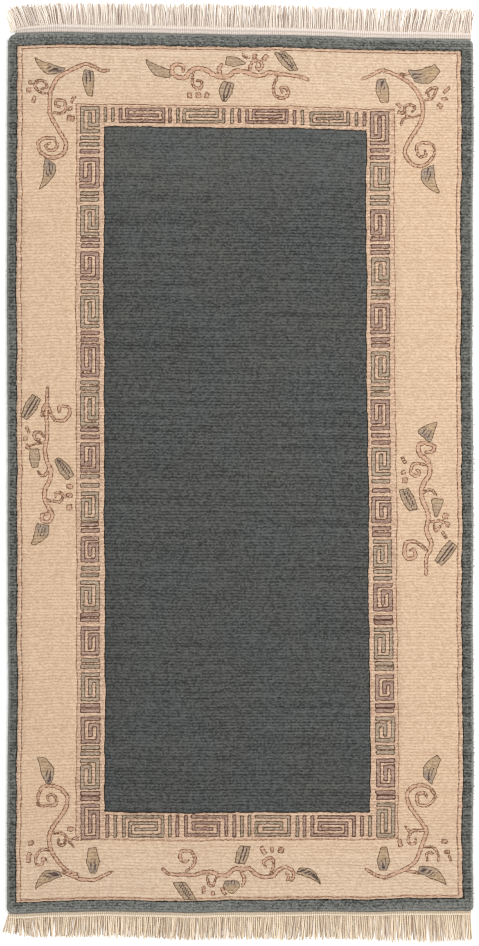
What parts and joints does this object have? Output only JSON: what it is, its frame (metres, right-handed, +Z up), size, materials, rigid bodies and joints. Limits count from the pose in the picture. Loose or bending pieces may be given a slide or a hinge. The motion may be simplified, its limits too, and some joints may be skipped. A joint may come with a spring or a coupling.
{
  "type": "tibetan rug",
  "caption": "Hand-knotted wool rug with an open field, a key-fret border, vine sprigs on a cream ground and a cut fringe at each end; it lies flat on a floor.",
  "frame": {"origin": "middle of the rug's box, on the floor that it lies on", "axes": "+X across the rug, to the right seen from above; +Y along the rug, to its far end; +Z up, out of the pile"},
  "size_m": [0.704, 1.4112, 0.012],
  "materials": {
    "pile_wool": "matte cut wool pile",
    "fringe_cotton": "matte undyed cotton yarn"
  },
  "bodies": {
    "root": {"pile_field": "pile_wool", "fringe_far": "fringe_cotton", "fringe_near": "fringe_cotton"}
  },
  "joints": []
}
